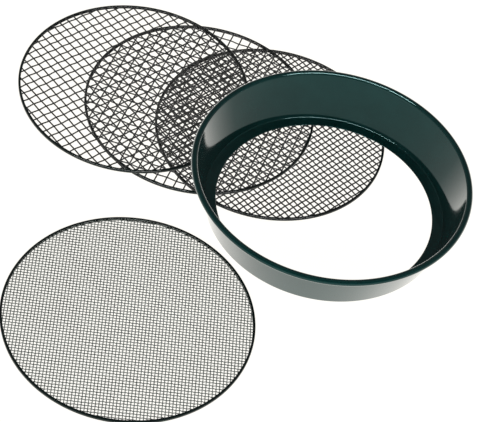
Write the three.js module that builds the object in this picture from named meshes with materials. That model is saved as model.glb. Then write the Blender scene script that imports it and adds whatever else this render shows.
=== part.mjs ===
// Garden soil sieve: a round steel frame with four interchangeable wire screens.
// The empty frame stands on a fan of three coarse screens, and the fine screen lies in front of it.
// Units are millimetres and +Z is up.
import * as THREE from 'three';
import { mergeVertices } from 'three/addons/utils/BufferGeometryUtils.js';

// Frame: a tapered wall, an inward flange at the base and a rim rolled outward over a wire.
const FRAME_HEIGHT = 70;
const RIM_RADIUS = 185;        // outside of the rolled rim
const BASE_RADIUS = 160.9;     // outside of the wall at the base
const OPENING_RADIUS = 145;    // edge of the flange
const SHEET = 0.9;
const BASE_BEND = 2.6;         // outer bend radius between wall and flange
const ROLL_RADIUS = 4.2;       // outside of the rolled rim's section
const ROLL_END = -150;         // where the rolled lip stops, in degrees from +R
const RIM_WIRE_RADIUS = 2.7;
const RIM_WIRE_SIDES = 8;
const BEND_STEPS = { outside: 3, inside: 2 };
const ROLL_STEPS = { outside: 8, inside: 7 };

// Screens: wire cloth clamped in a U-shaped rim that opens inward.
const SCREEN_RADIUS = 159.5;
const SCREEN_HEIGHT = 4.4;
const SCREEN_RIM_WIDTH = 3.2;
const RIM_SHEET = 0.4;
const HOOP_WIDTH = 1.8;        // hoop that holds the wires' ends inside the rim
const WIRE = 1.3;              // width and height of a wire's square stand-in
const FINE_CLOTH = 0.3;        // solid stand-in for the fine woven cloth
const GAP = 0.3;               // clearance between touching pieces

// Layout, from the frame's axis. Each screen of the fan lies on the one below it.
const LAYER = SCREEN_HEIGHT + GAP;
const FRAME_BASE_Z = 3 * LAYER;
const SCREENS = [
  { name: 'small_screen', x: -89.5, y: 125, layer: 0, pitch: 7.8, turn: 50 },
  { name: 'coarse_screen', x: -191.4, y: 139, layer: 1, pitch: 13.5, turn: -11 },
  { name: 'medium_screen', x: -285.5, y: 148, layer: 2, pitch: 12, turn: 47 },
];
const FINE_SCREEN = { x: -217, y: -236 };

const FRAME_SEGMENTS = 64;
const SCREEN_SEGMENTS = 48;

const green = () => new THREE.MeshStandardMaterial({ color: 0x0b3b34, roughness: 0.28, metalness: 0.1 });
const steel = () => new THREE.MeshStandardMaterial({ color: 0x8d9290, roughness: 0.4, metalness: 0.9 });
const black = () => new THREE.MeshStandardMaterial({ color: 0x14201d, roughness: 0.35, metalness: 0.3 });

// Welds a geometry's vertices so that its faces share them.
function weld(geometry) {
  geometry.deleteAttribute('normal');
  geometry.deleteAttribute('uv');
  return mergeVertices(geometry, 1e-4);
}

// A solid about +Z, from its section as [radius, height] points.
function turned(points, segments) {
  const section = points.map(([r, z]) => new THREE.Vector2(r, z));
  return weld(new THREE.LatheGeometry(section, segments).rotateX(Math.PI / 2));
}

const ring = (points, segments) => turned([...points, points[0]], segments);

function disc(radius, height) {
  return turned([[0, 0], [radius, 0], [radius, height], [0, height]], SCREEN_SEGMENTS);
}

// Points on an arc in the section plane, angles in degrees from +R.
function arc(cr, cz, radius, from, to, steps) {
  const points = [];
  for (let i = 0; i <= steps; i++) {
    const a = THREE.MathUtils.degToRad(from + ((to - from) * i) / steps);
    points.push([cr + radius * Math.cos(a), cz + radius * Math.sin(a)]);
  }
  return points;
}

const rollR = RIM_RADIUS - ROLL_RADIUS;
const rollZ = FRAME_HEIGHT - ROLL_RADIUS;

function frameSection() {
  // The wall leans out from the base to meet the rolled rim's circle as a tangent.
  const lean = Math.atan2(rollR - ROLL_RADIUS - (BASE_RADIUS - SHEET), rollZ - BASE_BEND);
  const side = 180 - THREE.MathUtils.radToDeg(lean);
  const inner = ROLL_RADIUS - SHEET;
  return [
    [OPENING_RADIUS, 0],
    ...arc(BASE_RADIUS - BASE_BEND, BASE_BEND, BASE_BEND, -90, side - 180, BEND_STEPS.outside),
    ...arc(rollR, rollZ, inner, side, ROLL_END, ROLL_STEPS.inside),
    ...arc(rollR, rollZ, ROLL_RADIUS, ROLL_END, side, ROLL_STEPS.outside),
    ...arc(BASE_RADIUS - BASE_BEND, BASE_BEND, BASE_BEND - SHEET, side - 180, -90, BEND_STEPS.inside),
    [OPENING_RADIUS, SHEET],
  ];
}

function channelSection() {
  const inner = SCREEN_RADIUS - SCREEN_RIM_WIDTH;
  const wall = SCREEN_RADIUS - RIM_SHEET;
  return [
    [inner, 0],
    [SCREEN_RADIUS, 0],
    [SCREEN_RADIUS, SCREEN_HEIGHT],
    [inner, SCREEN_HEIGHT],
    [inner, SCREEN_HEIGHT - RIM_SHEET],
    [wall, SCREEN_HEIGHT - RIM_SHEET],
    [wall, RIM_SHEET],
    [inner, RIM_SHEET],
  ];
}

// One layer of parallel wires whose ends join a thin hoop inside the rim: a disc with a slot
// between each wire and the next.
const HOOP_OUTER = SCREEN_RADIUS - RIM_SHEET - GAP;
const HOOP_INNER = HOOP_OUTER - HOOP_WIDTH;
const FACET = 360 / SCREEN_SEGMENTS;

function circlePoints(radius, from, to, steps) {
  return arc(0, 0, radius, from, to, steps).map(([x, y]) => new THREE.Vector2(x, y));
}

function slot(low, high) {
  const from = THREE.MathUtils.radToDeg(Math.asin(low / HOOP_INNER));
  const to = THREE.MathUtils.radToDeg(Math.asin(high / HOOP_INNER));
  const right = circlePoints(HOOP_INNER, from, to, Math.ceil((to - from) / FACET));
  const left = right.map((p) => new THREE.Vector2(-p.x, p.y)).reverse();
  return new THREE.Path([...right, ...left]);
}

function wireLayer(pitch) {
  const plan = new THREE.Shape(circlePoints(HOOP_OUTER, 0, 360, SCREEN_SEGMENTS).slice(1));
  const limit = HOOP_INNER - GAP;
  const last = Math.floor(limit / pitch);
  for (let i = -last; i <= last; i++) {
    const low = Math.max(-limit, (i - 0.5) * pitch + WIRE / 2);
    const high = Math.min(limit, (i + 0.5) * pitch - WIRE / 2);
    plan.holes.push(slot(low, high));
  }
  return weld(new THREE.ExtrudeGeometry(plan, { depth: WIRE, bevelEnabled: false }));
}

function named(name, geometry, material) {
  const mesh = new THREE.Mesh(geometry, material);
  mesh.name = name;
  return mesh;
}

function buildFrame() {
  const frame = new THREE.Group();
  frame.add(named('frame_shell', ring(frameSection(), FRAME_SEGMENTS), green()));
  const wireSection = arc(rollR, rollZ, RIM_WIRE_RADIUS, 0, 360, RIM_WIRE_SIDES).slice(1);
  const wire = ring(wireSection, FRAME_SEGMENTS);
  frame.add(named('frame_rim_wire', wire, steel()));
  frame.position.z = FRAME_BASE_Z;
  return frame;
}

function buildScreen({ name, x, y, layer, pitch, turn }) {
  const screen = new THREE.Group();
  screen.add(named(`${name}_rim`, ring(channelSection(), SCREEN_SEGMENTS), black()));
  ['warp', 'weft'].forEach((side, i) => {
    const wires = named(`${name}_${side}_wires`, wireLayer(pitch), black());
    wires.rotation.z = (i * Math.PI) / 2;
    wires.position.z = RIM_SHEET + GAP + i * (WIRE + GAP);
    screen.add(wires);
  });
  screen.rotation.z = THREE.MathUtils.degToRad(turn);
  screen.position.set(x, y, layer * LAYER);
  return screen;
}

function buildFineScreen({ x, y }) {
  const screen = new THREE.Group();
  screen.add(named('fine_screen_rim', ring(channelSection(), SCREEN_SEGMENTS), black()));
  const cloth = named('fine_screen_cloth', disc(HOOP_OUTER, FINE_CLOTH), black());
  cloth.position.z = (SCREEN_HEIGHT - FINE_CLOTH) / 2;
  screen.add(cloth);
  screen.position.set(x, y, 0);
  return screen;
}

// The origin is under the middle of the whole set's plan box.
const back = SCREENS[2];
const centreX = (back.x - SCREEN_RADIUS + RIM_RADIUS) / 2;
const centreY = (back.y + FINE_SCREEN.y) / 2;

const sieve = new THREE.Group();
sieve.add(buildFrame());
for (const screen of SCREENS) sieve.add(buildScreen(screen));
sieve.add(buildFineScreen(FINE_SCREEN));
sieve.position.set(-centreX, -centreY, 0);

export default sieve;
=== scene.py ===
"""Garden soil sieve: a rolled-edge steel frame standing on a fan of three wire screens,
with a fine fourth screen lying beside it. Metres and degrees, +Z up."""

import math

import bmesh
import bpy
import numpy as np
from mathutils import Matrix, Vector

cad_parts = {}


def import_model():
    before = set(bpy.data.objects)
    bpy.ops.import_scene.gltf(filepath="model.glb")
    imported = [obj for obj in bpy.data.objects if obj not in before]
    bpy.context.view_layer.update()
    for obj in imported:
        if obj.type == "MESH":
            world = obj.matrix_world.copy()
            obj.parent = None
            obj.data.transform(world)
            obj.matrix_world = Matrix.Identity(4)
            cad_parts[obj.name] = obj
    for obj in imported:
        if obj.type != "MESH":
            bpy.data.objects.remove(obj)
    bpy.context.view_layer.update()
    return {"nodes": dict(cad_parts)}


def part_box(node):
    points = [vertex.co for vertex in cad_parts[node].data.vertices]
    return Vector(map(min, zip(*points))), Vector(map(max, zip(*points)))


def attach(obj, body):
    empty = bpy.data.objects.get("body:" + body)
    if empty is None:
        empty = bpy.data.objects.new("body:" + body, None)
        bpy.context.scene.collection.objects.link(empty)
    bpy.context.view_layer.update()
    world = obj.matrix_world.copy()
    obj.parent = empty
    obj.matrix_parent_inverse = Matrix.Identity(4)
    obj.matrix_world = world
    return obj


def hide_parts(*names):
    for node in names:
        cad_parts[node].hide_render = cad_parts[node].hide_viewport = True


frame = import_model()

# Frame section, turned about the frame's axis.
SHEET = 0.0009
ROLL_RADIUS = 0.0042  # outside of the rolled rim's section
ROLL_END = -150  # where the rolled lip stops
BASE_RADIUS = 0.1609  # outside of the wall at the base
BASE_BEND = 0.0026  # outer bend radius between wall and flange
OPENING_RADIUS = 0.145  # edge of the flange

# Screens: a channel-shaped rim that opens inward and holds the ends of woven wires.
RIM_WIDTH = 0.0032
RIM_SHEET = 0.0004
RIM_CORNER = 0.0013
WIRE_END_INSET = 0.0009  # from the rim's outside to the ends of the wires
COARSE_WIRE = {"wire": 0.002, "rise": 0.00085, "sides": 8}
FINE_WIRE = {"wire": 0.0013, "rise": 0.0011, "sides": 5}

# The pitch, the warp's turn in degrees anticlockwise from +X, the warp's share of the weave's bends
# and the points along one pitch. A crossing rises by less than a wire, as the coat bridges it.
WEAVES = {
    "small_screen": {"pitch": 0.0078, "turn": 50, "bend": 0.5, "steps": 4, **COARSE_WIRE},
    "coarse_screen": {"pitch": 0.0135, "turn": -11, "bend": 0.6, "steps": 6, **COARSE_WIRE},
    "medium_screen": {"pitch": 0.012, "turn": 47, "bend": 0.68, "steps": 6, **COARSE_WIRE},
    "fine_screen": {"pitch": 0.0042, "turn": 6, "bend": 0.5, "steps": 4, **FINE_WIRE},
}

FRAME_SEGMENTS = 288
RIM_SEGMENTS = 240

# Camera: looks along +Y and down at the set, rolled about its own axis.
VIEW_ELEVATION = 48.82
VIEW_ROLL = 11.74
VIEW_POINT = (0, 0.002, 0)  # on the floor, from under the frame's axis
VIEW_DISTANCE = 2.4061  # from that point, along the line of sight
VIEW_SIDESTEP = -0.1087  # then to the camera's right
VIEW_RISE = 0.0007  # and up in its picture
SENSOR_WIDTH = 36  # millimetres
FOCAL_LENGTH = 135.0  # millimetres

# Studio: glowing paper, a high strip that makes the highlights, a low soft light in front that
# only lights, and a dark card under the strip. Places are from the frame's axis.
FLOOR_REACH = 8.0
FLOOR_GLOW = 1.05  # the paper is lit from below too, so that shadows fade out
KEY_IN_FRONT, KEY_HEIGHT = 1.1, 2.0
KEY_SIZE, KEY_RADIANCE = (3.4, 0.25), 75.0
FILL_Y, FILL_HEIGHT = -2.6, 0.9  # in the set's own Y
FILL_SIZE, FILL_RADIANCE = (5.0, 1.6), 4.0
CARD_IN_FRONT = (0.85, 0.41)  # its front and back edge
CARD_HALF_WIDTH, CARD_HEIGHT = 1, 0.7
OVERHEAD_GLOW, HORIZON_GLOW = 0.26, 1.0
HORIZON_FADE = 0.3  # sine of the elevation where the pale horizon ends

# ---------------------------------------------------------------- mesh helpers


def box_middle(node):
    low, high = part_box(node)
    return (low + high) / 2


def arc(centre_r, centre_z, radius, start, stop, steps):
    """Points on an arc in the section plane, angles in degrees from the outward radius."""
    angles = np.radians(np.linspace(start, stop, steps + 1))
    return [
        (centre_r + radius * math.cos(a), centre_z + radius * math.sin(a)) for a in angles
    ]


def spaced(points, gap):
    """Adds points on the long straight runs of a closed outline."""
    result = []
    for (r0, z0), (r1, z1) in zip(points, points[1:] + points[:1]):
        count = max(1, round(math.hypot(r1 - r0, z1 - z0) / gap))
        result += [
            (r0 + (r1 - r0) * i / count, z0 + (z1 - z0) * i / count) for i in range(count)
        ]
    return result


def mesh_object(name, vertices, faces):
    mesh = bpy.data.meshes.new(name)
    mesh.from_pydata(vertices.tolist(), [], faces.tolist())
    mesh.polygons.foreach_set("use_smooth", [True] * len(mesh.polygons))
    mesh.update()
    obj = bpy.data.objects.new(name, mesh)
    bpy.context.scene.collection.objects.link(obj)
    return obj


def grid_faces(rows, columns, close_rows):
    """Quads between successive rows of points, each row a closed loop."""
    last = rows if close_rows else rows - 1
    i, j = np.meshgrid(np.arange(last), np.arange(columns), indexing="ij")
    a = i * columns + j
    b = i * columns + (j + 1) % columns
    c = ((i + 1) % rows) * columns + (j + 1) % columns
    d = ((i + 1) % rows) * columns + j
    return np.stack([a, b, c, d], axis=-1).reshape(-1, 4)


def level_card(name, low, high, height, material):
    """A flat horizontal rectangle between two plan corners."""
    mesh = bpy.data.meshes.new(name)
    corners = [(low[0], low[1]), (high[0], low[1]), (high[0], high[1]), (low[0], high[1])]
    mesh.from_pydata([(x, y, height) for x, y in corners], [], [(0, 1, 2, 3)])
    mesh.materials.append(material)
    obj = bpy.data.objects.new(name, mesh)
    bpy.context.scene.collection.objects.link(obj)
    return obj


def turned(name, section, axis, base, segments):
    """A closed section turned about a vertical axis."""
    section = np.array(section)
    angles = np.linspace(0, 2 * math.pi, segments, endpoint=False)
    r, z = section[:, 0], section[:, 1]
    x = axis.x + np.outer(np.cos(angles), r)
    y = axis.y + np.outer(np.sin(angles), r)
    vertices = np.stack([x, y, np.broadcast_to(base + z, x.shape)], axis=-1).reshape(-1, 3)
    return mesh_object(name, vertices, grid_faces(segments, len(section), True))


def soften(obj):
    """Keeps flat faces flat in the shading next to small bends."""
    weighted = obj.modifiers.new("weighted", "WEIGHTED_NORMAL")
    weighted.keep_sharp = True


# ---------------------------------------------------------------- materials


def set_range(node, *limits):
    """Sets a Map Range node from its two input limits to its two output limits."""
    for key, limit in zip(("From Min", "From Max", "To Min", "To Max"), limits):
        node.inputs[key].default_value = limit


class Nodes:
    """A Principled material and short calls for the nodes that drive it."""

    def __init__(self, name):
        self.material = bpy.data.materials.new(name)
        self.material.use_nodes = True
        self.tree = self.material.node_tree
        self.shader = next(n for n in self.tree.nodes if n.type == "BSDF_PRINCIPLED")
        self.place = self.add("ShaderNodeTexCoord").outputs["Object"]

    def add(self, kind, **values):
        node = self.tree.nodes.new(kind)
        for key, value in values.items():
            setattr(node, key, value)
        return node

    def link(self, source, target):
        self.tree.links.new(source, target)

    def noise(self, scale, detail=3.0, roughness=0.55):
        node = self.add("ShaderNodeTexNoise")
        node.inputs["Scale"].default_value = scale
        node.inputs["Detail"].default_value = detail
        node.inputs["Roughness"].default_value = roughness
        self.link(self.place, node.inputs["Vector"])
        return node.outputs["Fac"]

    def stretch(self, value, low, high, to_low, to_high):
        node = self.add("ShaderNodeMapRange", clamp=True)
        self.link(value, node.inputs["Value"])
        set_range(node, low, high, to_low, to_high)
        return node.outputs["Result"]

    def blend(self, factor, first, second):
        """Mixes two colours, each an RGB tuple or a socket."""
        node = self.add("ShaderNodeMix", data_type="RGBA")
        self.link(factor, node.inputs["Factor"])
        for socket, colour in ((node.inputs[6], first), (node.inputs[7], second)):
            if isinstance(colour, tuple):
                socket.default_value = (*colour, 1)
            else:
                self.link(colour, socket)
        return node.outputs[2]

    def multiply(self, first, second):
        node = self.add("ShaderNodeMath", operation="MULTIPLY")
        self.link(first, node.inputs[0])
        self.link(second, node.inputs[1])
        return node.outputs[0]

    def bump(self, height, distance, under=None):
        node = self.add("ShaderNodeBump")
        node.inputs["Distance"].default_value = distance
        node.inputs["Strength"].default_value = 1.0
        self.link(height, node.inputs["Height"])
        if under is not None:
            self.link(under, node.inputs["Normal"])
        return node.outputs["Normal"]

    def set(self, **values):
        for key, value in values.items():
            self.shader.inputs[key.replace("_", " ")].default_value = value


def enamel(name, deep, light, speck_and_highlight, roughness, peel, gloss, tint=(1, 1, 1), clear=False):
    """A stoved gloss coat on steel: mottled colour, orange peel and a painted highlight that makes
    sharp edges paler in patches. A clear one has a second coat that shows at a slant."""
    m = Nodes(name)
    cloud = m.stretch(m.noise(26, 4), 0.35, 0.65, 0, 1)
    speck = m.stretch(m.noise(900, 2), 0.6, 0.74, 0, 0.35)
    colour = m.blend(cloud, deep, light)
    colour = m.blend(speck, colour, speck_and_highlight)
    # Painted highlight: sharp edges (high pointiness) are mixed towards the pale colour, in patches.
    edge = m.add("ShaderNodeNewGeometry").outputs["Pointiness"]
    edge_highlight = m.multiply(
        m.stretch(edge, 0.53, 0.6, 0, 1), m.stretch(m.noise(120, 5, 0.7), 0.48, 0.62, 0, 0.5)
    )
    m.link(m.blend(edge_highlight, colour, speck_and_highlight), m.shader.inputs["Base Color"])
    m.link(
        m.stretch(m.noise(70, 4), 0.3, 0.7, roughness[0], roughness[1]),
        m.shader.inputs["Roughness"],
    )
    coarse = m.bump(m.noise(90, 2), peel * 2)
    peeled = m.bump(m.noise(320, 2), peel, under=coarse)
    m.link(peeled, m.shader.inputs["Normal"])
    m.set(IOR=1.5, Specular_IOR_Level=gloss, Specular_Tint=(*tint, 1))
    if clear:
        slant = m.add("ShaderNodeLayerWeight")
        slant.inputs["Blend"].default_value = 0.5
        m.link(m.stretch(slant.outputs["Facing"], 0.44, 0.7, 0, 1), m.shader.inputs["Coat Weight"])
        m.set(Coat_Roughness=0.06, Coat_IOR=1.62)
    return m


def steel(name):
    """Drawn steel wire: a fine noise in its bump and roughness, with dull patches."""
    m = Nodes(name)
    patch = m.stretch(m.noise(90, 5), 0.4, 0.65, 0, 1)
    m.link(m.blend(patch, (0.24, 0.25, 0.25), (0.42, 0.43, 0.42)), m.shader.inputs["Base Color"])
    m.link(m.stretch(m.noise(700, 3), 0.3, 0.7, 0.28, 0.5), m.shader.inputs["Roughness"])
    m.link(m.bump(m.noise(1800, 2), 0.00001), m.shader.inputs["Normal"])
    m.set(Metallic=0.95)
    return m.material


# The third colour of each coat tints its specks and is also the painted highlight on its sharp
# edges.
frame_coat = enamel(
    "frame_coat", (0.0012, 0.0170, 0.0160), (0.0020, 0.0215, 0.0203), (0.010, 0.040, 0.037),
    (0.06, 0.09), 0.000001, 0.36, tint=(0.6, 1, 1), clear=True,
).material
rim_coat = enamel(
    "screen_rim_coat", (0.0006, 0.0050, 0.0044), (0.0012, 0.0075, 0.0068), (0.02, 0.035, 0.03),
    (0.08, 0.12), 0.000003, 0.3,
).material
wire_coat = enamel(
    "screen_wire_coat", (0.0012, 0.0026, 0.0022), (0.0025, 0.0048, 0.0042), (0.012, 0.016, 0.015),
    (0.26, 0.36), 0.00001, 0.3,
).material
fine_coat = enamel(
    "fine_cloth_coat", (0.07, 0.09, 0.08), (0.12, 0.145, 0.13), (0.25, 0.28, 0.26),
    (0.35, 0.5), 0.00001, 0.5,
).material


# ---------------------------------------------------------------- frame


def frame_section(rim_radius, height):
    """Outline of the bent sheet: flange, base bend, leaning wall and rolled rim."""
    roll_r, roll_z = rim_radius - ROLL_RADIUS, height - ROLL_RADIUS
    rise = roll_z - BASE_BEND
    lean = math.atan2(roll_r - ROLL_RADIUS - (BASE_RADIUS - SHEET), rise)
    side = 180 - math.degrees(lean)
    bend = (BASE_RADIUS - BASE_BEND, BASE_BEND)
    roll = (roll_r, roll_z)
    hem = SHEET / 2
    return spaced(
        arc(OPENING_RADIUS + hem, hem, hem, 90, 270, 6)
        + arc(*bend, BASE_BEND, -90, side - 180, 10)
        + arc(*roll, ROLL_RADIUS - SHEET, side, ROLL_END, 36)
        + arc(*roll, ROLL_RADIUS, ROLL_END, side, 40)
        + arc(*bend, BASE_BEND - SHEET, side - 180, -90, 8),
        0.003,
    )


shell_low, shell_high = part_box("frame_shell")
frame_axis = box_middle("frame_shell")
shell = turned(
    "frame_body",
    frame_section((shell_high.x - shell_low.x) / 2, shell_high.z - shell_low.z),
    frame_axis,
    shell_low.z,
    FRAME_SEGMENTS,
)
soften(shell)
shell.data.materials.append(frame_coat)
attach(shell, "frame")
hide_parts("frame_shell")

for slot in frame["nodes"]["frame_rim_wire"].material_slots:
    slot.material = steel("rim_wire_steel")


# ---------------------------------------------------------------- screens


def channel_section(radius, height):
    """Outline of the rim: a rounded channel that opens inward, its lips pressed on the wires."""
    inner = radius - RIM_WIDTH
    corner, lip = RIM_CORNER, RIM_SHEET / 2
    inside = corner - RIM_SHEET
    top = height - corner
    return spaced(
        arc(inner + lip, lip, lip, 90, 270, 5)
        + arc(radius - corner, corner, corner, -90, 0, 8)
        + arc(radius - corner, top, corner, 0, 90, 8)
        + arc(inner + lip, height - lip, lip, 90, 270, 5)
        + arc(radius - corner, top, inside, 90, 0, 5)
        + arc(radius - corner, corner, inside, 0, -90, 5),
        0.001,
    )


def wave_wires(axis, reach, turn, swing, weave):
    """Vertices and faces of one set of parallel wires that weave over and under the other set."""
    pitch, sides, steps = weave["pitch"], weave["sides"], weave["steps"]
    radius = weave["wire"] / 2
    last = int(reach / pitch - 0.5)
    vertices, faces, count = [], [], 0
    ring_angles = np.radians(np.arange(sides) * 360 / sides + 180 / sides)
    cos_turn, sin_turn = math.cos(math.radians(turn)), math.sin(math.radians(turn))
    for i in range(-last - 1, last + 1):
        offset = (i + 0.5) * pitch
        half = math.sqrt(reach**2 - offset**2)
        stations = np.linspace(-half, half, max(2, round(2 * half / pitch * steps)) + 1)
        lift = swing * (-1) ** i
        height = lift * np.sin(np.pi * stations / pitch)
        slope = np.arctan(lift * np.pi / pitch * np.cos(np.pi * stations / pitch))
        across = radius * np.cos(ring_angles)
        up = radius * np.sin(ring_angles)
        along = stations[:, None] - np.outer(np.sin(slope), up)
        side = np.broadcast_to(offset + across, along.shape)
        z = axis.z + height[:, None] + np.outer(np.cos(slope), up)
        x = axis.x + along * cos_turn - side * sin_turn
        y = axis.y + along * sin_turn + side * cos_turn
        vertices.append(np.stack([x, y, z], axis=-1).reshape(-1, 3))
        faces.append(grid_faces(len(stations), sides, False) + count)
        count += len(stations) * sides
    return np.concatenate(vertices), np.concatenate(faces)


def wire_set(name, axis, reach, turn, swing, weave):
    obj = mesh_object(name, *wave_wires(axis, reach, turn, swing, weave))
    close_ends(obj)
    return obj


def close_ends(obj):
    """Caps the open ends of every wire."""
    work = bmesh.new()
    work.from_mesh(obj.data)
    bmesh.ops.holes_fill(work, edges=[e for e in work.edges if e.is_boundary])
    bmesh.ops.recalc_face_normals(work, faces=work.faces)
    work.to_mesh(obj.data)
    work.free()


for body, weave in WEAVES.items():
    rim_low, rim_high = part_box(f"{body}_rim")
    axis = box_middle(f"{body}_rim")
    radius = min(rim_high.x - rim_low.x, rim_high.y - rim_low.y) / 2
    rim = turned(
        f"{body}_hoop", channel_section(radius, rim_high.z - rim_low.z), axis, rim_low.z,
        RIM_SEGMENTS,
    )
    soften(rim)
    rim.data.materials.append(rim_coat)
    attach(rim, body)
    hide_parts(f"{body}_rim")
    rim.visible_glossy = False  # the frame's gloss shows plain paper, without the screens

    fine = body == "fine_screen"
    for side, quarter, share in (("warp", 0, -weave["bend"]), ("weft", 90, 1 - weave["bend"])):
        wires = wire_set(
            f"{body}_{side}", axis, radius - WIRE_END_INSET, weave["turn"] + quarter,
            share * weave["rise"], weave,
        )
        wires.data.materials.append(fine_coat if fine else wire_coat)
        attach(wires, body)
        if not fine:
            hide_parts(f"{body}_{side}_wires")
        elif side == "warp":
            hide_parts("fine_screen_cloth")
        wires.visible_glossy = False


# ---------------------------------------------------------------- studio


def studio_floor():
    m = Nodes("floor_paper")
    paper = m.blend(m.noise(3), (0.080, 0.078, 0.075), (0.095, 0.093, 0.090))
    m.link(paper, m.shader.inputs["Base Color"])
    m.set(Roughness=0.9, Specular_IOR_Level=0.1)
    m.shader.inputs["Emission Color"].default_value = (1, 0.98, 0.93, 1)
    m.shader.inputs["Emission Strength"].default_value = FLOOR_GLOW
    corner = (-FLOOR_REACH, -FLOOR_REACH)
    floor = level_card("floor", corner, (FLOOR_REACH, FLOOR_REACH), 0, m.material)


def softbox(name, place, target, size, radiance, mirrored):
    """A rectangular area light of the given radiance, facing the target. A mirrored one makes
    highlights and nothing else, and any other only lights surfaces."""
    width, depth = size
    data = bpy.data.lights.new(name, "AREA")
    data.shape = "RECTANGLE"
    data.size, data.size_y = width, depth
    data.energy = radiance * math.pi * width * depth
    light = bpy.data.objects.new(name, data)
    light.location = place
    light.rotation_euler = (Vector(target) - Vector(place)).to_track_quat("-Z", "Y").to_euler()
    light.visible_camera = False
    light.visible_glossy = mirrored
    light.visible_diffuse = not mirrored
    bpy.context.scene.collection.objects.link(light)


def flag():
    """A dark card in front of the frame that keeps the key's highlight off the front rim."""
    m = Nodes("flag_cloth")
    cloth = m.blend(m.noise(40), (0.008, 0.008, 0.008), (0.014, 0.014, 0.014))
    m.link(cloth, m.shader.inputs["Base Color"])
    m.set(Roughness=1.0, Specular_IOR_Level=0.0)
    front, back = CARD_IN_FRONT
    low = (frame_axis.x - CARD_HALF_WIDTH, frame_axis.y - front)
    high = (frame_axis.x + CARD_HALF_WIDTH, frame_axis.y - back)
    card = level_card("key_flag", low, high, CARD_HEIGHT, m.material)
    card.visible_camera = False
    card.visible_diffuse = False


def camera():
    elevation, roll = math.radians(VIEW_ELEVATION), math.radians(VIEW_ROLL)
    forward = Vector((0, math.cos(elevation), -math.sin(elevation)))
    level = Vector((1, 0, 0))
    upright = level.cross(forward)
    right = level * math.cos(roll) + upright * math.sin(roll)
    up = upright * math.cos(roll) - level * math.sin(roll)
    data = bpy.data.cameras.new("camera")
    data.lens = FOCAL_LENGTH
    data.sensor_width = SENSOR_WIDTH
    obj = bpy.data.objects.new("camera", data)
    aim = Vector((frame_axis.x, frame_axis.y, 0)) + Vector(VIEW_POINT)
    obj.location = aim - forward * VIEW_DISTANCE + right * VIEW_SIDESTEP + up * VIEW_RISE
    obj.rotation_euler = Matrix((right, up, -forward)).transposed().to_euler()
    bpy.context.scene.collection.objects.link(obj)
    bpy.context.scene.camera = obj


def world():
    """Studio walls that are pale at the horizon, and dark overhead where level faces mirror them."""
    scene_world = bpy.data.worlds.new("studio")
    scene_world.use_nodes = True
    tree = scene_world.node_tree
    background = next(n for n in tree.nodes if n.type == "BACKGROUND")
    background.inputs["Color"].default_value = (1, 1, 0.99, 1)
    parts = tree.nodes.new("ShaderNodeSeparateXYZ")
    tree.links.new(tree.nodes.new("ShaderNodeTexCoord").outputs["Generated"], parts.inputs[0])
    fade = tree.nodes.new("ShaderNodeMapRange")
    fade.interpolation_type = "SMOOTHSTEP"
    tree.links.new(parts.outputs["Z"], fade.inputs["Value"])
    set_range(fade, 0, HORIZON_FADE, HORIZON_GLOW, OVERHEAD_GLOW)
    tree.links.new(fade.outputs["Result"], background.inputs["Strength"])
    bpy.context.scene.world = scene_world


camera()
studio_floor()
middle = (frame_axis.x, frame_axis.y, 0)
key_place = (frame_axis.x, frame_axis.y - KEY_IN_FRONT, KEY_HEIGHT)
fill_place = (frame_axis.x, FILL_Y, FILL_HEIGHT)
softbox("key", key_place, middle, KEY_SIZE, KEY_RADIANCE, mirrored=True)
softbox("fill", fill_place, middle, FILL_SIZE, FILL_RADIANCE, mirrored=False)
flag()
world()
bpy.context.scene.view_settings.view_transform = "Standard"
